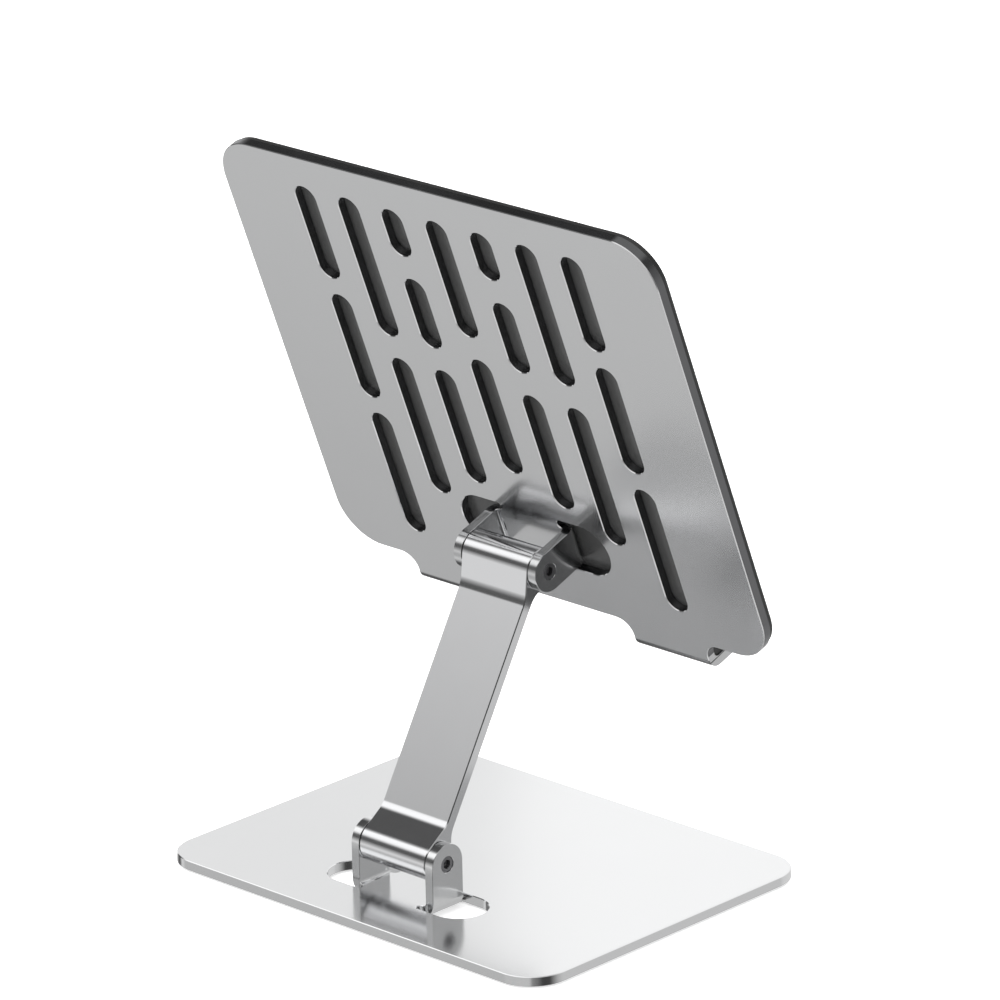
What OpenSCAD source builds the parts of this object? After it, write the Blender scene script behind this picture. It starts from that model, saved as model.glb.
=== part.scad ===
// Folding tablet stand: a sheet metal base and back panel joined by one arm with a friction
// hinge at each end. X runs across the stand, the user sits on the -Y side, Z is up.
// The origin is the centre of the base's resting face.

/* [Base] */
// Width of the base plate
base_w = 150; // [125:1:190]
// Depth of the base plate, front to back
base_d = 115; // [95:1:150]
// Corner radius of the base plate
base_corner = 12; // [4:0.5:25]
// Distance from the base's rear edge to the lower hinge axis
hinge_setback = 26.5; // [20:0.5:45]
// Thickness of the silicone pad under the base
base_pad_t = 0.6; // [0.4:0.1:2]
// How far the pad stays inside the base's edge
base_pad_inset = 4; // [2:0.5:10]

/* [Sheet metal] */
// Thickness of the base and panel sheets
sheet_t = 3; // [2:0.1:4]
// Inside radius of the sheet's bends
bend_r = 1; // [0.5:0.1:2]

/* [Hinges] */
// Height of a hinge axis above the sheet that carries its ears
hinge_h = 11.9; // [10:0.1:16]
// Width of an ear, and the diameter of its round end
ear_w = 12.3; // [11:0.1:16]
// Width of the gap cut round an ear
ear_gap = 2.4; // [1.5:0.1:3]
// Distance from the centre plane to the outer end of an ear's window
window_reach = 29; // [25:0.5:34]
// Radius of the hinge screws' heads
screw_r = 2.4; // [2:0.1:2.6]
// Radius of the screws' threaded shanks
shank_r = 1.5; // [1:0.1:1.6]
// Length of thread in the axle
thread_len = 6; // [4:0.5:8]
// Across-flats size of the screws' hexagon sockets
socket_af = 2.5; // [1.5:0.1:3]
// Depth of the screws' sockets
socket_depth = 1.6; // [1:0.1:2]
// How far a screw's head sits below the ear's face
head_recess = 0.2; // [0:0.05:0.5]
// Radius of the hinge axles
axle_r = 3; // [2.6:0.1:3.4]
// Wall thickness of the friction bushes
bush_wall = 1; // [0.8:0.1:1.4]
// Thickness of the thrust washers
washer_t = 0.2; // [0.1:0.05:0.6]
// Number of disc springs between the two bushes of a hinge
spring_count = 4; // [2:2:8]
// Material thickness of a disc spring
spring_t = 0.5; // [0.3:0.05:0.8]
// Cone height of a disc spring
spring_cone = 0.5; // [0.2:0.05:0.8]

/* [Arm] */
// Distance between the two hinge axes
arm_len = 88.5; // [70:0.5:120]
// Width of the arm and of its barrels
arm_w = 25.9; // [22:0.1:32]
// Thickness of the arm's flat
arm_t = 3.2; // [2.5:0.1:4.5]
// Shift of the arm's flat behind the line between the axes
arm_shift = 0.5; // [0:0.1:1]
// Lean of the arm towards the user, from vertical
arm_lean = 30.3; // [0:0.1:60]
// Fillets in front of both barrels
front_fillet = 8; // [4:0.5:12]
// Slope of the ramps behind both barrels
ramp_angle = 24.5; // [18:0.5:35]
// Fillet at the foot of the lower ramp
lower_ramp_fillet = 8.5; // [1:0.5:12]
// Fillet at the foot of the upper ramp
upper_ramp_fillet = 10; // [1:0.5:12]

/* [Back panel] */
// Width of the back panel
panel_w = 169; // [140:1:210]
// Height of the back panel, without its hooks
panel_h = 144.5; // [120:0.5:180]
// Corner radius of the back panel
panel_corner = 14; // [5:0.5:20]
// Lean of the back panel away from the user, from vertical
panel_lean = 20.6; // [0:0.1:60]
// Height of the upper hinge above the panel's bottom edge
hinge_rise = 23.2; // [20:0.1:35]
// Thickness of the silicone pads on the panel and the hooks
pad_t = 1.6; // [1:0.1:3]
// How far the panel pad stays inside the panel's edge
pad_inset = 0.5; // [0.5:0.1:5]

/* [Slots] */
// Width of a slot
slot_w = 8.1; // [6:0.1:10]
// Gap between the slots of a column
slot_gap = 8.2; // [5:0.1:10]
// Gap between the slots of the outermost column
outer_slot_gap = 6; // [4:0.1:10]
// Web left between an ear's window and the column of slots beside it
slot_web = 1.5; // [1:0.1:4]
// Distance from the slots to the panel's top and bottom edges
slot_margin = 10.4; // [6:0.1:20]

/* [Hooks] */
// Width of a hook
hook_w = 28.8; // [20:0.1:36]
// Distance from a hook to the panel's side
hook_margin = 26.9; // [20:0.1:34]
// Drop of a hook's underside below the panel's bottom edge
hook_drop = 10; // [7:0.1:16]
// Clear depth of a hook between its pads, for the tablet
hook_clear = 11; // [7:0.5:16]
// Height of a hook's lip above its floor
lip_h = 11; // [8:0.5:18]
// Corner radius of a hook's lip
lip_corner = 5; // [2:0.5:8]
// Fillet where a hook leaves the panel
neck_fillet = 5; // [2:0.5:8]

/* [Hidden] */
$fn = 96;
// radial clearance of a turning fit, and of a part in its seat
run_clear = 0.05;
seat_clear = 0.02;
// end clearance of a washer
side_clear = 0.03;
// smallest corner radius of a pad
min_corner = 1;
// how far a fillet runs into the faces that it joins
blend = 0.01;
// overshoot that makes a cut pass clean through a face
over = 1;

barrel_r = ear_w / 2;
ear_in = arm_w / 2 + washer_t + 2 * side_clear;
ear_out = ear_in + sheet_t;
bend_x = ear_in - bend_r;
bend_out = bend_r + sheet_t;
window_half = ear_w / 2 + ear_gap;
bore_r = axle_r + run_clear + bush_wall;
spring_pitch = spring_t + spring_cone + seat_clear;
bush_in = spring_count * spring_pitch / 2;

base_top = base_pad_t + sheet_t;
lower_y = base_d / 2 - hinge_setback;
lower_z = base_top + hinge_h;
upper_y = lower_y - arm_len * sin(arm_lean);
upper_z = lower_z + arm_len * cos(arm_lean);

arm_rear = arm_shift + arm_t / 2;
arm_front = arm_t / 2 - arm_shift;

// the hook's profile, measured forward from the panel's back face
lip_inner = sheet_t + pad_t + hook_clear + pad_t;
lip_outer = lip_inner + sheet_t;
hook_floor = sheet_t - hook_drop;

// Columns of slots, from the centre column outwards: the column's lowest point, its gap, and
// its slots' shares of the length that is cut, from the top down.
window_top = hinge_rise + window_half;
slot_pitch = (window_reach + slot_web + slot_w / 2) / 2;
SLOT_COLUMNS = [
    [window_top + 14, slot_gap, [1, 1]],
    [window_top + 5.9, slot_gap, [2, 3, 5]],
    [window_top - 2.4, slot_gap, [1, 1]],
    [slot_margin, outer_slot_gap, [32, 36.5, 43]]
];

hook_x = panel_w / 2 - hook_margin - hook_w / 2;
neck_h = hook_drop - bend_out;
neck_r = min(neck_fillet, neck_h);

HINGES = ["lower", "upper"];
SIDES = ["left", "right"];

// ---- places ----

// The lower hinge's frame: the axis is X, and the base is below it.
module at_lower() {
    translate([0, lower_y, lower_z]) children();
}

// The upper hinge's frame: the axis is X, +Y runs up the panel, and +Z points at the user.
module at_upper() {
    translate([0, upper_y, upper_z]) rotate([90 - panel_lean, 0, 0]) children();
}

// The panel's own frame: the middle of its bottom edge on its back face, +Z towards the user.
module at_panel() {
    at_upper() translate([0, -hinge_rise, hinge_h]) children();
}

// ---- shapes ----

// A rectangle with round corners, its middle at the origin.
module rounded_rect(w, d, r) {
    square([w - 2 * r, d], center = true);
    square([w, d - 2 * r], center = true);
    for (x = [-1, 1], y = [-1, 1])
        translate([x * (w / 2 - r), y * (d / 2 - r)]) circle(r);
}

// A slot with full round ends along Y.
module slot_shape(y0, y1, w) {
    translate([-w / 2, y0 + w / 2]) square([w, y1 - y0 - w]);
    for (y = [y0 + w / 2, y1 - w / 2]) translate([0, y]) circle(w / 2);
}

// The opening that an ear is bent out of, with a relief at each end of the bend.
module ear_window(grow = 0) {
    r = window_half + grow;
    centre = window_reach - window_half;
    translate([bend_x, -r]) square([centre - bend_x, 2 * r]);
    translate([centre, 0]) circle(r);
    for (y = [-1, 1])
        translate([bend_x, y * (ear_w + ear_gap) / 2]) circle(ear_gap / 2);
}

module both_windows(grow = 0) {
    ear_window(grow);
    mirror([1, 0]) ear_window(grow);
}

// A quarter of the sheet's bend, from +Y round to +X, about its centre.
module bend_quarter() {
    intersection() {
        difference() {
            circle(bend_out);
            circle(bend_r);
        }
        square(bend_out + over);
    }
}

// One ear in its hinge's frame: it rises from the sheet below and ends round about the axis.
module ear() {
    wall_z = bend_r - hinge_h;
    difference() {
        union() {
            translate([bend_x, 0, wall_z]) rotate([90, 0, 0]) mirror([0, 1, 0])
                linear_extrude(ear_w, center = true) bend_quarter();
            translate([ear_in, -ear_w / 2, wall_z]) cube([sheet_t, ear_w, -wall_z]);
            translate([ear_in, 0, 0]) rotate([0, 90, 0]) cylinder(r = ear_w / 2, h = sheet_t);
        }
        translate([ear_in - over, 0, 0]) rotate([0, 90, 0])
            cylinder(r = screw_r + run_clear, h = sheet_t + 2 * over);
    }
}

module ear_pair() {
    ear();
    mirror([1, 0, 0]) ear();
}

// ---- base ----

module base_plate() {
    color("silver") {
        translate([0, 0, base_pad_t]) linear_extrude(sheet_t) difference() {
            rounded_rect(base_w, base_d, base_corner);
            translate([0, lower_y]) both_windows();
        }
        at_lower() ear_pair();
    }
}

module base_pad() {
    window_margin = 1.5;
    color("dimgray") linear_extrude(base_pad_t) difference() {
        rounded_rect(base_w - 2 * base_pad_inset, base_d - 2 * base_pad_inset,
                     max(base_corner - base_pad_inset, min_corner));
        translate([0, lower_y]) both_windows(window_margin);
    }
}

// ---- arm ----

// The metal between a barrel at the origin and a flat at x = p, on the flat's +Y side.
module barrel_fillet(p, r) {
    run = sqrt(pow(barrel_r + r, 2) - pow(p + r, 2));
    difference() {
        polygon([[0, 0], [0, run], [p + r, run]]);
        translate([p + r, run]) circle(r + blend);
    }
}

// The ramp from a barrel at the origin up to the arm's rear face, with a fillet of radius r.
module barrel_ramp(r) {
    touch = barrel_r * [cos(ramp_angle), sin(ramp_angle)];
    foot_y = touch[1] + (touch[0] - arm_rear) / tan(ramp_angle);
    reach = r * tan(ramp_angle / 2);
    polygon([[0, 0], touch, [arm_rear, foot_y], [0, foot_y]]);
    difference() {
        polygon([[arm_rear - over, foot_y + reach], [arm_rear, foot_y + reach],
                 [arm_rear + reach * sin(ramp_angle), foot_y - reach * cos(ramp_angle)],
                 [arm_rear - over, foot_y - reach * cos(ramp_angle)]]);
        translate([arm_rear + r, foot_y + reach]) circle(r + blend);
    }
}

// The arm's own frame: X points behind the arm, Y from the lower axis to the upper one.
module arm_slice() {
    linear_extrude(arm_w, center = true) children();
}

module arm() {
    color("lightgray") at_lower() rotate([arm_lean, 0, 0]) rotate([90, 0, 90]) difference() {
        union() {
            arm_slice() translate([-arm_front, 0]) square([arm_t, arm_len]);
            arm_slice() circle(barrel_r);
            arm_slice() barrel_ramp(lower_ramp_fillet);
            arm_slice() mirror([1, 0]) barrel_fillet(arm_front, front_fillet);
            translate([0, arm_len, 0]) {
                arm_slice() circle(barrel_r);
                arm_slice() mirror([1, 0]) mirror([0, 1]) barrel_fillet(arm_front, front_fillet);
                arm_slice() mirror([0, 1]) barrel_ramp(upper_ramp_fillet);
            }
        }
        for (y = [0, arm_len]) translate([0, y, 0])
            cylinder(r = bore_r + seat_clear, h = arm_w + 2 * over, center = true);
    }
}

// ---- back panel ----

function sum(list, count) = count == 0 ? 0 : list[count - 1] + sum(list, count - 1);

module slot_column(start, gap, shares) {
    top = panel_h - slot_margin;
    unit = (top - start - gap * (len(shares) - 1)) / sum(shares, len(shares));
    for (i = [0 : len(shares) - 1]) {
        y1 = top - unit * sum(shares, i) - gap * i;
        slot_shape(y1 - unit * shares[i], y1, slot_w);
    }
}

module slots() {
    for (i = [0 : len(SLOT_COLUMNS) - 1], side = i == 0 ? [1] : [-1, 1])
        translate([side * i * slot_pitch, 0])
            slot_column(SLOT_COLUMNS[i][0], SLOT_COLUMNS[i][1], SLOT_COLUMNS[i][2]);
}

// The neck of a hook, below the panel's bottom edge, with a fillet on each side.
module hook_neck() {
    translate([-hook_w / 2, -neck_h]) square([hook_w, neck_h + over]);
    for (side = [0, 1]) mirror([side, 0]) difference() {
        translate([hook_w / 2 - over, -neck_r]) square([neck_r + over, neck_r + over]);
        translate([hook_w / 2 + neck_r, -neck_r]) circle(neck_r);
    }
}

module panel_outline() {
    translate([0, panel_h / 2]) rounded_rect(panel_w, panel_h, panel_corner);
    for (side = [-1, 1]) translate([side * hook_x, 0]) hook_neck();
}

// The bent part of a hook from the side: X runs forward from the back face, Y up the panel.
module hook_section() {
    translate([bend_out, bend_out - hook_drop]) rotate(180) bend_quarter();
    translate([bend_out, -hook_drop]) square([lip_outer - 2 * bend_out, sheet_t]);
    translate([lip_outer - bend_out, bend_out - hook_drop]) rotate(-90) bend_quarter();
}

// Turns a section that is drawn from the side so that it runs across the panel.
module across(w) {
    rotate([0, -90, 0]) linear_extrude(w, center = true) children();
}

module hook_lip() {
    straight = lip_h + sheet_t - bend_out;
    translate([0, bend_out - hook_drop, lip_inner]) linear_extrude(sheet_t) {
        translate([-hook_w / 2, 0]) square([hook_w, straight - lip_corner]);
        translate([lip_corner - hook_w / 2, 0]) square([hook_w - 2 * lip_corner, straight]);
        for (side = [-1, 1])
            translate([side * (hook_w / 2 - lip_corner), straight - lip_corner]) circle(lip_corner);
    }
}

module back_panel() {
    color("silver") {
        at_panel() {
            linear_extrude(sheet_t) difference() {
                panel_outline();
                slots();
                translate([0, hinge_rise]) both_windows();
            }
            for (side = [-1, 1]) translate([side * hook_x, 0, 0]) {
                across(hook_w) hook_section();
                hook_lip();
            }
        }
        at_upper() rotate([180, 0, 0]) ear_pair();
    }
}

// ---- silicone pads on the panel ----

module panel_pad() {
    color("dimgray") at_panel() translate([0, panel_h / 2, sheet_t]) linear_extrude(pad_t)
        rounded_rect(panel_w - 2 * pad_inset, panel_h - 2 * pad_inset,
                     max(panel_corner - pad_inset, min_corner));
}

// The liner of a hook from the side: down the neck, along the floor and up the lip.
module hook_pad_section() {
    foot = hook_floor + bend_r;
    difference() {
        union() {
            translate([sheet_t, foot]) square([lip_inner - sheet_t, lip_h - bend_r]);
            translate([sheet_t + bend_r, hook_floor])
                square([lip_inner - sheet_t - 2 * bend_r, bend_r + over]);
            for (x = [sheet_t + bend_r, lip_inner - bend_r]) translate([x, foot]) circle(bend_r);
        }
        translate([sheet_t + pad_t, hook_floor + pad_t]) square([hook_clear, lip_h]);
        translate([sheet_t - over, 0]) square([pad_t + 2 * over, lip_h]);
    }
}

module hook_pad(side) {
    inset = 0.5;
    color("dimgray") at_panel() translate([side * hook_x, 0, 0])
        across(hook_w - 2 * inset) hook_pad_section();
}

module hook_pad_left() {
    hook_pad(-1);
}

module hook_pad_right() {
    hook_pad(1);
}

// ---- hinge hardware, each piece in its hinge's frame ----

// A cylinder along the axis, from x0 to x1.
module rod(r, x0, x1) {
    translate([x0, 0, 0]) rotate([0, 90, 0]) cylinder(r = r, h = x1 - x0);
}

module ring(r_out, r_in, x0, x1) {
    difference() {
        rod(r_out, x0, x1);
        rod(r_in, x0 - over, x1 + over);
    }
}

module hinge_axle() {
    color("gray") difference() {
        rod(axle_r, -ear_in, ear_in);
        for (side = [0, 1]) mirror([side, 0, 0])
            rod(shank_r + seat_clear, ear_in - thread_len - over, ear_in + over);
    }
}

// The screw on the +X side: its head fills the ear's hole and its thread holds the axle.
module hinge_screw() {
    face = ear_out - head_recess;
    socket_r = socket_af / 2 / cos(30);
    color("dimgray") difference() {
        union() {
            rod(screw_r, ear_in, face);
            rod(shank_r, ear_in - thread_len, ear_in + over);
        }
        translate([face - socket_depth, 0, 0]) rotate([0, 90, 0])
            cylinder(r = socket_r, h = socket_depth + over, $fn = 6);
    }
}

module thrust_washer() {
    rim = 0.5;
    x0 = arm_w / 2 + side_clear;
    color("black") ring(barrel_r - rim, axle_r + run_clear, x0, x0 + washer_t);
}

module friction_bush() {
    color("peru") ring(bore_r, axle_r + run_clear, bush_in, arm_w / 2);
}

// One disc spring of the stack between the two bushes, each turned the other way to the last.
module disc_spring(i) {
    r_in = axle_r + 4 * run_clear;
    r_out = bore_r - run_clear;
    color("slategray") translate([-bush_in + (i - 0.5) * spring_pitch, 0, 0])
        rotate([0, i % 2 == 0 ? 90 : -90, 0])
            rotate_extrude() translate([0, -(spring_t + spring_cone) / 2])
                polygon([[r_in, spring_cone], [r_out, 0], [r_out, spring_t],
                         [r_in, spring_cone + spring_t]]);
}

module at_hinge(h) {
    if (h == "lower") at_lower() children();
    else at_upper() children();
}

module on_side(s) {
    mirror([s == "left" ? 1 : 0, 0, 0]) children();
}

// ---- nodes ----

base_plate();
base_pad();
arm();
back_panel();
panel_pad();
hook_pad_left();
hook_pad_right();

for (h = HINGES) {
    at_hinge(h) hinge_axle();
    for (s = SIDES) {
        at_hinge(h) on_side(s) hinge_screw();
        at_hinge(h) on_side(s) thrust_washer();
        at_hinge(h) on_side(s) friction_bush();
    }
    for (i = [1 : spring_count])
        at_hinge(h) disc_spring(i);
}
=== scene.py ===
"""Folding tablet stand: the looks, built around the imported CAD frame. Lengths are in metres."""
import math

import bmesh
import bpy
from mathutils import Matrix, Vector


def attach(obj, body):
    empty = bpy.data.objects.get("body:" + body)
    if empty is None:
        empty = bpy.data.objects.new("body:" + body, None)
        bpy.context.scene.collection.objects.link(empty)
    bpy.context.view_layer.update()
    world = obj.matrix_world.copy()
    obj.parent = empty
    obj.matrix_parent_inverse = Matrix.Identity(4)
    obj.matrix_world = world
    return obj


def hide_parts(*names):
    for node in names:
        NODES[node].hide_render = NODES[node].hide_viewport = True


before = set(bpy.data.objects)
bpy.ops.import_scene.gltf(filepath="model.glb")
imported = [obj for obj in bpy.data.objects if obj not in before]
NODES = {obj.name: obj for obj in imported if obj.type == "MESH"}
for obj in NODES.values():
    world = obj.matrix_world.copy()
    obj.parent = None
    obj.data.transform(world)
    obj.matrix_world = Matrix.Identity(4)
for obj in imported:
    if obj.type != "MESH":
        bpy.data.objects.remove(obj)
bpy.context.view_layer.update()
MM = 0.001
scene = bpy.context.scene


# ---- node helpers ----

def new_material(name):
    mat = bpy.data.materials.new(name)
    mat.use_nodes = True
    return mat, mat.node_tree, mat.node_tree.nodes["Principled BSDF"]


def node(tree, kind, **settings):
    made = tree.nodes.new(kind)
    for key, value in settings.items():
        setattr(made, key, value)
    return made


def noise(tree, coords, scale, detail=3.0, rough=0.5):
    tex = node(tree, "ShaderNodeTexNoise")
    tex.inputs["Scale"].default_value = scale
    tex.inputs["Detail"].default_value = detail
    tex.inputs["Roughness"].default_value = rough
    tree.links.new(coords, tex.inputs["Vector"])
    return tex.outputs["Fac"]


def ramp(tree, fac, stops):
    """A colour ramp through (position, colour or grey level) stops."""
    made = node(tree, "ShaderNodeValToRGB")
    elements = made.color_ramp.elements
    while len(elements) > 1:
        elements.remove(elements[-1])
    for i, (position, value) in enumerate(stops):
        stop = elements[0] if i == 0 else elements.new(position)
        stop.position = position
        colour = value if isinstance(value, tuple) else (value, value, value)
        stop.color = (*colour, 1)
    tree.links.new(fac, made.inputs["Fac"])
    return made.outputs["Color"]


def map_range(tree, fac, low, high, to_low, to_high):
    made = node(tree, "ShaderNodeMapRange")
    sockets = ("From Min", "From Max", "To Min", "To Max")
    for name, value in zip(sockets, (low, high, to_low, to_high)):
        made.inputs[name].default_value = value
    tree.links.new(fac, made.inputs["Value"])
    return made.outputs["Result"]


def math_node(tree, operation, a, b):
    made = node(tree, "ShaderNodeMath", operation=operation)
    for socket, value in zip(made.inputs, (a, b)):
        if isinstance(value, (int, float)):
            socket.default_value = value
        else:
            tree.links.new(value, socket)
    return made.outputs["Value"]


def object_coords(tree, stretch=(1, 1, 1)):
    coords = node(tree, "ShaderNodeTexCoord").outputs["Object"]
    if stretch == (1, 1, 1):
        return coords
    scale = node(tree, "ShaderNodeMapping")
    scale.inputs["Scale"].default_value = stretch
    tree.links.new(coords, scale.inputs["Vector"])
    return scale.outputs["Vector"]


# ---- materials ----

GRAIN_DEPTH = 0.02 * MM
METAL_SPAN = (0.35, 0.65)
METAL_SLOW_SCALE = 14
METAL_HAZE_SCALE = 90
METAL_SLOW_SHARE = 0.6
METAL_HAZE_SHARE = 0.4
POLYMER_SPAN = (0.3, 0.7)
RUBBER_HAZE_SCALE = 60
RUBBER_GRAIN_SCALE = 3000
RUBBER_GRAIN = 0.06
RUBBER_SPREAD = 0.015
RUBBER_TINT = 1.12
WASHER_HAZE_SCALE = 400
WASHER_SPREAD = 0.08
WASHER_TINT = 1.6


def hazy(tree, shader, haze, span, colours, roughness, spread):
    """Lets the colour and the roughness follow one noise, between its low and its high level."""
    tree.links.new(ramp(tree, haze, list(zip(span, colours))), shader.inputs["Base Color"])
    rough = map_range(tree, haze, *span, roughness - spread, roughness + spread)
    tree.links.new(rough, shader.inputs["Roughness"])


def grainy(tree, shader, height, strength):
    """A fine grain in the surface, from a noise taken as height."""
    made = node(tree, "ShaderNodeBump")
    made.inputs["Strength"].default_value = strength
    made.inputs["Distance"].default_value = GRAIN_DEPTH
    tree.links.new(height, made.inputs["Height"])
    tree.links.new(made.outputs["Normal"], shader.inputs["Normal"])


def metal(name, colour, roughness, spread=0.03, tint=0.04, grain=0.05, stretch=(1, 1, 1),
          grain_scale=4500):
    """A worked metal surface: slow tone variation, fine handling haze, and a blasted or ground grain."""
    mat, tree, shader = new_material(name)
    coords = object_coords(tree)
    slow = math_node(tree, "MULTIPLY", noise(tree, coords, METAL_SLOW_SCALE, 2), METAL_SLOW_SHARE)
    fine = math_node(tree, "MULTIPLY", noise(tree, coords, METAL_HAZE_SCALE, 4, 0.6), METAL_HAZE_SHARE)
    dark = tuple(c * (1 - tint) for c in colour)
    light = tuple(min(c * (1 + tint), 1) for c in colour)
    hazy(tree, shader, math_node(tree, "ADD", slow, fine), METAL_SPAN, (dark, light), roughness, spread)
    shader.inputs["Metallic"].default_value = 1.0
    grainy(tree, shader, noise(tree, object_coords(tree, stretch), grain_scale, 2, 0.6), grain)
    return mat


def silicone(name, colour=0.016, roughness=0.36):
    """Black silicone rubber: a satin skin with a faint moulded grain and haze."""
    mat, tree, shader = new_material(name)
    coords = object_coords(tree)
    haze = noise(tree, coords, RUBBER_HAZE_SCALE, 4, 0.6)
    hazy(tree, shader, haze, POLYMER_SPAN, (colour, colour * RUBBER_TINT), roughness, RUBBER_SPREAD)
    shader.inputs["Specular IOR Level"].default_value = 0.5
    grainy(tree, shader, noise(tree, coords, RUBBER_GRAIN_SCALE, 2), RUBBER_GRAIN)
    return mat


def plain_polymer(name, colour, roughness):
    mat, tree, shader = new_material(name)
    haze = noise(tree, object_coords(tree), WASHER_HAZE_SCALE)
    hazy(tree, shader, haze, POLYMER_SPAN, (colour, colour * WASHER_TINT), roughness, WASHER_SPREAD)
    return mat


BASE = metal("base_metal", (0.86, 0.865, 0.87), 0.15, spread=0.006, tint=0.008, grain=0.02)
ARM = metal("arm_metal", (0.87, 0.873, 0.885), 0.14, spread=0.008, tint=0.012, grain=0.03)
PANEL = metal("panel_metal", (0.72, 0.724, 0.73), 0.18, spread=0.01, tint=0.015, grain=0.04)
CHAMFER = metal("chamfer_cut", (0.90, 0.905, 0.91), 0.10, tint=0.02, grain=0.03, stretch=(1, 1, 6))
# a dark copy of the panel's aluminium for the walls cut through its sheet: painted shade on the panel's
# outline and on the sides of its slots
CUT_WALL_SHADE = metal("panel_cut_wall_painted_shade", (0.20, 0.202, 0.207), 0.20, spread=0.04, tint=0.06, grain=0.08,
                 stretch=(1, 1, 0.3))
SILICONE = silicone("silicone_satin")
# a lighter copy of the black silicone for the pad faces turned as the panel's back: painted light where
# the pad shows through the slots
PAD_BACK_LIT = silicone("silicone_back_painted_light", 0.055, 0.25)
STEEL = metal("hinge_steel", (0.50, 0.50, 0.52), 0.28, tint=0.08, grain=0.15, stretch=(0.15, 1, 1))
SCREW = metal("screw_steel", (0.30, 0.30, 0.31), 0.42, spread=0.08, tint=0.3, grain=0.5,
              grain_scale=1800)
WASHER = plain_polymer("washer_polymer", 0.02, 0.5)
BRONZE = metal("bush_bronze", (0.62, 0.40, 0.20), 0.35, spread=0.06, tint=0.1, grain=0.2)


# ---- pieces ----

def widest_face(cad_node, side):
    """A point on the node's largest face of those that face one side, and that face's normal."""
    faces = (f for f in NODES[cad_node].data.polygons if f.normal.dot(side) > 0)
    widest = max(faces, key=lambda f: f.area)
    return widest.center.copy(), widest.normal.copy()


PANEL_SHEET = widest_face("back_panel", Vector((0, 1, 0)))
BASE_SHEET = widest_face("base_plate", Vector((0, 0, 1)))
PANEL_FOOT, PANEL_BACK = PANEL_SHEET
SHEET = 3 * MM
NEAR = 0.05 * MM
EDGE_ON = 0.1
SAME_WAY = 0.9
MERGE = 0.002 * MM
FLAT = math.radians(0.3)
SHARP = math.radians(40)
CREASE = math.radians(30)
FINE_EDGE = 0.4
PLATE_BREAK = 0.22 * MM
ARM_BREAK = 0.25 * MM
SCREW_BREAK = 0.2 * MM
BASE_PAD_ROUND = 0.15 * MM
PAD_ROUND = 0.3 * MM
NORMAL_WEIGHT = 50
SKIN_SLOT, EDGE_SLOT, OTHER_SLOT = 0, 1, 2


def on_sheet(edge, sheet):
    """True if the edge lies in either face of a sheet, given as a point and normal of its outer face."""
    foot, normal = sheet
    depths = [(foot - v.co).dot(normal) for v in edge.verts]
    return any(all(abs(d - face) < NEAR for d in depths) for face in (0, SHEET))


# the faces picked here take the dark cut-wall metal, which is painted shade
def in_sheet(face):
    """True for a wall cut through the panel's sheet: its outline, and the sides of its slots."""
    depths = [(PANEL_FOOT - v.co).dot(PANEL_BACK) for v in face.verts]
    return (abs(face.normal.dot(PANEL_BACK)) < EDGE_ON and min(depths) > -NEAR
            and max(depths) < SHEET + NEAR)


# the faces picked here take the lighter silicone, which is painted light
def faces_panel(face):
    """True for a face turned as the panel's back is, such as the one that shows through the slots."""
    return face.normal.dot(PANEL_BACK) > SAME_WAY


def marked_mesh(cad_node, sheet, picked):
    """The node's own mesh as a clean copy, with its sharp edges weighted for the bevel."""
    mesh = NODES[cad_node].data.copy()
    mesh.materials.clear()
    work = bmesh.new()
    work.from_mesh(mesh)
    bmesh.ops.remove_doubles(work, verts=work.verts, dist=MERGE)
    bmesh.ops.dissolve_limit(work, angle_limit=FLAT, verts=work.verts, edges=work.edges)
    weight = work.edges.layers.float.new("bevel_weight_edge")
    for e in work.edges:
        if e.calc_face_angle(0) > SHARP:
            e[weight] = 1.0 if sheet is None or on_sheet(e, sheet) else FINE_EDGE
    for f in work.faces:
        f.smooth = True
        f.material_index = OTHER_SLOT if picked and picked(f) else SKIN_SLOT
    work.to_mesh(mesh)
    work.free()
    return mesh


def break_edges(piece, width, segments):
    """Cuts the weighted edges and puts the result in the piece as plain geometry."""
    cut = piece.modifiers.new("edge", "BEVEL")
    cut.width = width
    cut.segments = segments
    cut.limit_method = "WEIGHT"
    cut.material = EDGE_SLOT
    cut.use_clamp_overlap = False
    cut.loop_slide = False
    cut.miter_outer = "MITER_ARC" if segments > 1 else "MITER_SHARP"
    bpy.context.view_layer.update()
    depsgraph = bpy.context.evaluated_depsgraph_get()
    cooked = bpy.data.meshes.new_from_object(piece.evaluated_get(depsgraph))
    piece.modifiers.clear()
    marked = piece.data
    piece.data = cooked
    bpy.data.meshes.remove(marked)
    cooked.name = piece.name
    cooked.set_sharp_from_angle(angle=CREASE)
    normals = piece.modifiers.new("normals", "WEIGHTED_NORMAL")
    normals.keep_sharp = True
    normals.weight = NORMAL_WEIGHT


def bevelled(cad_node, body, skin, edge=None, width=PLATE_BREAK, segments=1, sheet=None,
             picked=None, other=None):
    """The node's own solid with its sharp edges broken.

    The broken edges take the finish edge, and the faces that picked() names take the finish other.
    With a sheet, edges off its two faces are broken less.
    """
    mesh = marked_mesh(cad_node, sheet, picked)
    mesh.name = cad_node + "_skin"
    for finish in (skin, edge or skin, other):
        if finish:
            mesh.materials.append(finish)
    piece = bpy.data.objects.new(cad_node + "_skin", mesh)
    scene.collection.objects.link(piece)
    break_edges(piece, width, segments)
    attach(piece, body)
    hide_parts(cad_node)
    return piece


bevelled("base_plate", "base", BASE, CHAMFER, sheet=BASE_SHEET)
bevelled("arm", "arm", ARM, CHAMFER, width=ARM_BREAK)
# the panel's cut walls take a dark metal: painted shade
bevelled("back_panel", "panel", PANEL, CHAMFER, sheet=PANEL_SHEET,
         picked=in_sheet, other=CUT_WALL_SHADE)

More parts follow.
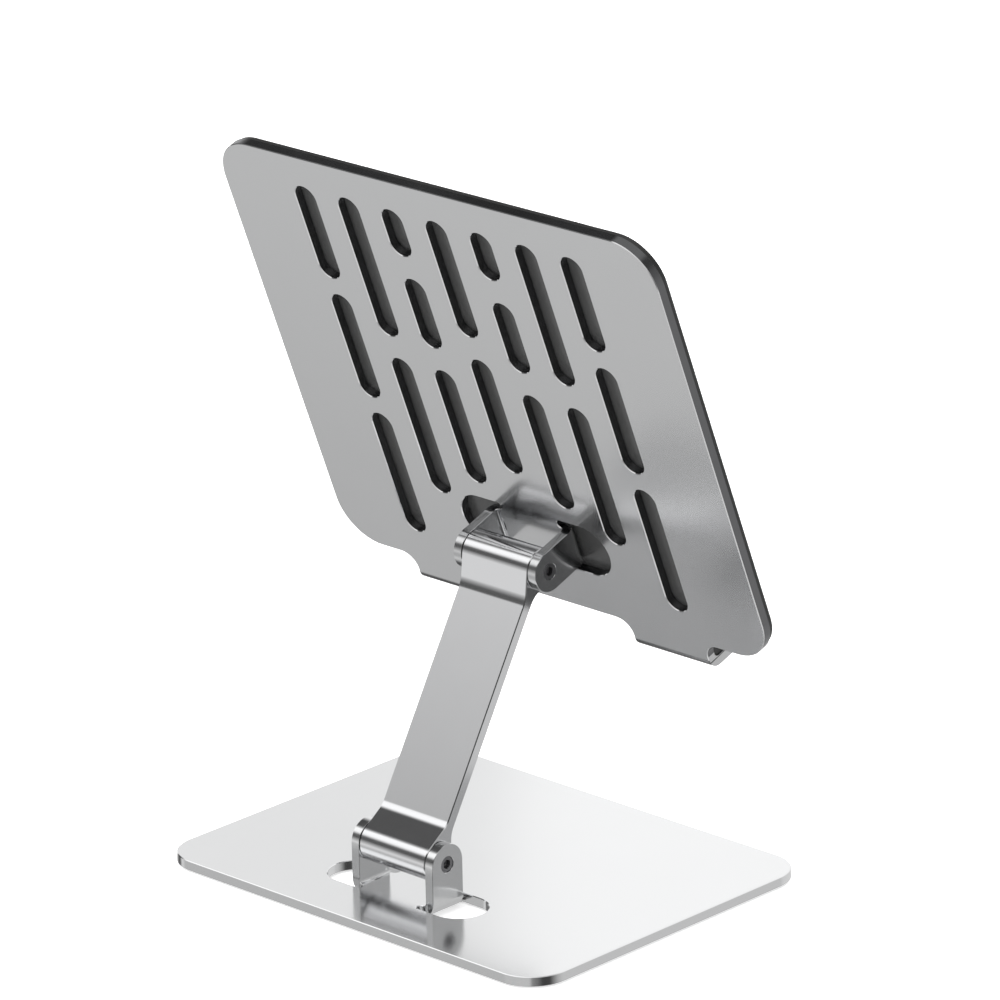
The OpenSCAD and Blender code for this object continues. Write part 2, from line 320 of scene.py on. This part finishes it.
for name, body, round_r in (("base_pad", "base", BASE_PAD_ROUND), ("panel_pad", "panel", PAD_ROUND),
                            ("hook_pad_left", "panel", PAD_ROUND), ("hook_pad_right", "panel", PAD_ROUND)):
    # the pad faces turned as the panel's back take the lighter silicone: painted light
    bevelled(name, body, SILICONE, width=round_r, segments=3,
                       picked=faces_panel, other=PAD_BACK_LIT)

for hinge, body in (("lower", "base"), ("upper", "panel")):
    for side in ("left", "right"):
        bevelled(f"{hinge}_screw_{side}", body, SCREW, width=SCREW_BREAK, segments=2)

HARDWARE = {"axle": STEEL, "spring": STEEL, "washer": WASHER, "bush": BRONZE}
for name, obj in NODES.items():
    for word, finish in HARDWARE.items():
        if word in name:
            obj.data.materials.clear()
            obj.data.materials.append(finish)


# ---- camera ----

CAM_AZ, CAM_EL, CAM_ROLL = math.radians(224.10), math.radians(19.47), math.radians(-1.24)
CAM_POS = Vector((-1.39874, 1.43292, 0.82132))
CAM_LENS = 268.57
CAM_SENSOR = 36
CAM_NEAR = 0.01

back = Vector((math.sin(CAM_AZ) * math.cos(CAM_EL), -math.cos(CAM_AZ) * math.cos(CAM_EL),
               math.sin(CAM_EL)))
level_right = (-back).cross(Vector((0, 0, 1))).normalized()
level_up = level_right.cross(-back)
right = math.cos(CAM_ROLL) * level_right + math.sin(CAM_ROLL) * level_up
up = -math.sin(CAM_ROLL) * level_right + math.cos(CAM_ROLL) * level_up
camera_data = bpy.data.cameras.new("camera")
camera_data.lens = CAM_LENS
camera_data.sensor_width = CAM_SENSOR
camera_data.clip_start = CAM_NEAR
camera = bpy.data.objects.new("camera", camera_data)
camera.matrix_world = Matrix((right, up, back)).transposed().to_4x4()
camera.location = CAM_POS
scene.collection.objects.link(camera)
bpy.context.scene.camera = camera


# ---- floor and backdrop ----

scene.view_settings.view_transform = "Standard"
scene.view_settings.look = "None"
scene.view_settings.exposure = 0
scene.view_settings.gamma = 1

WHITE_TONES = (0.9, 0.92)
FLOOR_HALF = 6.0
FLOOR_GLOW = 0.55
FLOOR_ROUGHNESS = 0.9
WALL_RADIUS, WALL_HEIGHT, WALL_SIDES = 5.8, 9.0, 48
WALL_FOOT = -0.01
WALL_GLOW = 1.0


def glowing_white(name, scale, detail, glow):
    """White with a faint tone in it, which also gives off light."""
    mat, tree, shader = new_material(name)
    tone = noise(tree, object_coords(tree), scale, detail)
    tree.links.new(ramp(tree, tone, list(zip(POLYMER_SPAN, WHITE_TONES))), shader.inputs["Base Color"])
    shader.inputs["Emission Color"].default_value = (1, 1, 1, 1)
    shader.inputs["Emission Strength"].default_value = glow
    return mat, shader


def stage_object(name, verts, faces, mat):
    mesh = bpy.data.meshes.new(name)
    mesh.from_pydata(verts, [], faces)
    mesh.materials.append(mat)
    obj = bpy.data.objects.new(name, mesh)
    scene.collection.objects.link(obj)
    return obj


floor_mat, floor_shader = glowing_white("floor_white", 6, 2, FLOOR_GLOW)
floor_shader.inputs["Roughness"].default_value = FLOOR_ROUGHNESS
floor_shader.inputs["Specular IOR Level"].default_value = 0.0
corners = [(x * FLOOR_HALF, y * FLOOR_HALF, 0) for x, y in ((-1, -1), (1, -1), (1, 1), (-1, 1))]
floor = stage_object("floor", corners, [(0, 1, 2, 3)], floor_mat)
floor.visible_glossy = False

# a closed white drum around the floor, which only the camera sees
wall_mat, wall_shader = glowing_white("backdrop_white", 0.5, 1, WALL_GLOW)
turns = [2 * math.pi * i / WALL_SIDES for i in range(WALL_SIDES)]
ring = [(WALL_RADIUS * math.cos(t), WALL_RADIUS * math.sin(t)) for t in turns]
drum_verts = [(x, y, z) for z in (WALL_FOOT, WALL_HEIGHT) for x, y in ring]
drum_faces = [(i, (i + 1) % WALL_SIDES, WALL_SIDES + (i + 1) % WALL_SIDES, WALL_SIDES + i)
              for i in range(WALL_SIDES)]
drum_faces.append(tuple(range(WALL_SIDES, 2 * WALL_SIDES)))
backdrop = stage_object("backdrop", drum_verts, drum_faces, wall_mat)
for kind in ("glossy", "diffuse", "shadow", "transmission"):
    setattr(backdrop, "visible_" + kind, False)


# ---- light ----

# Long strip lights along X, as stops of (degrees about the X axis, brightness). 0 is level behind
# the stand, 90 straight up, 180 level in front, -90 straight down. These come from the +X side.
PLUS_STRIPS = [
    # in front and below
    (-180, 0.80), (-165, 0.45), (-122, 0.30), (-108, 0.10), (-95, 0.06), (-86, 0.12),
    # a strip low behind, and one just below level
    (-78, 0.30), (-70, 0.50), (-64, 0.72), (-52, 0.72), (-42, 0.50), (-28, 0.50),
    (-15, 0.78), (-6, 0.50), (3, 0.28),
    # a dark gap, then the bright strip high behind
    (10, 0.09), (25, 0.09), (28, 0.22), (31, 0.47), (33.5, 0.63), (37, 0.90), (43, 1.10),
    (60, 1.15), (64, 0.78), (67, 0.42), (72, 0.20),
    # dark overhead, then the strip high in front
    (77, 0.07), (116, 0.055), (132, 0.45), (142, 0.86), (170, 0.90), (180, 0.80),
]
# Those that come from the -X side, which the side faces show.
MINUS_STRIPS = [
    (-180, 0.50), (-160, 0.58), (-148, 0.58), (-120, 0.25), (-95, 0.06), (-50, 0.05),
    (-30, 0.25), (0, 0.10), (20, 0.05), (42, 0.06), (60, 0.80), (80, 0.40), (100, 0.10),
    (130, 0.20), (142, 0.36), (165, 0.40), (180, 0.50),
]
# Those for the directions between the two sides.
MIDDLE_STRIPS = [
    (-180, 0.85), (-120, 0.45), (-90, 0.40), (-60, 0.75), (-25, 0.55), (5, 0.60), (30, 0.90),
    (60, 1.05), (85, 0.55), (105, 0.55), (140, 0.95), (180, 0.85),
]
# How far a direction leans to each side where that side's strips begin and where they are full.
MINUS_EDGE = (0.53, 0.62)
PLUS_EDGE = (0.48, 0.59)
# A colour Mix node's own sockets: its factor, its two colours and its result.
MIX_FACTOR, MIX_FIRST, MIX_SECOND, MIX_RESULT = 0, 6, 7, 2

world = bpy.data.worlds.new("studio")
scene.world = world
world.use_nodes = True
sky_tree = world.node_tree
axes = node(sky_tree, "ShaderNodeSeparateXYZ")
sky_tree.links.new(node(sky_tree, "ShaderNodeTexCoord").outputs["Generated"], axes.inputs[0])
angle = math_node(sky_tree, "ARCTAN2", axes.outputs["Z"], axes.outputs["Y"])
turn = map_range(sky_tree, angle, -math.pi, math.pi, 0, 1)


def strip_sky(strips):
    return ramp(sky_tree, turn, [((degrees + 180) / 360, bright) for degrees, bright in strips])


def blended(share, first, second):
    mix = node(sky_tree, "ShaderNodeMix", data_type="RGBA")
    for socket, source in ((MIX_FACTOR, share), (MIX_FIRST, first), (MIX_SECOND, second)):
        sky_tree.links.new(source, mix.inputs[socket])
    return mix.outputs[MIX_RESULT]


def soft_light(name, place, size, watts, seen=False):
    """A soft box that lights the floor and the soft parts; it shows in the metal only if it is seen."""
    data = bpy.data.lights.new(name, "AREA")
    data.shape = "RECTANGLE"
    data.size, data.size_y = size
    data.energy = watts
    lamp = bpy.data.objects.new(name, data)
    lamp.location = place
    lamp.rotation_euler = (-Vector(place)).to_track_quat("-Z", "Y").to_euler()
    lamp.visible_glossy = seen
    scene.collection.objects.link(lamp)


leaning_minus = math_node(sky_tree, "MULTIPLY", axes.outputs["X"], -1)
plus_share = map_range(sky_tree, axes.outputs["X"], *PLUS_EDGE, 0, 1)
minus_share = map_range(sky_tree, leaning_minus, *MINUS_EDGE, 0, 1)
sky = blended(plus_share, strip_sky(MIDDLE_STRIPS), strip_sky(PLUS_STRIPS))
sky = blended(minus_share, sky, strip_sky(MINUS_STRIPS))
sky_tree.links.new(sky, sky_tree.nodes["Background"].inputs["Color"])
sky_tree.nodes["Background"].inputs["Strength"].default_value = 1.0

soft_light("top_box", (0.3, 0.2, 2.6), (3.5, 3.5), 75)
soft_light("far_box", (0.8, -2.8, 2.2), (3.0, 2.0), 45)
# a small box that the right half of the base plate shows
soft_light("base_box", (0.556, -1.003, 0.456), (0.60, 0.50), 0.17, seen=True)
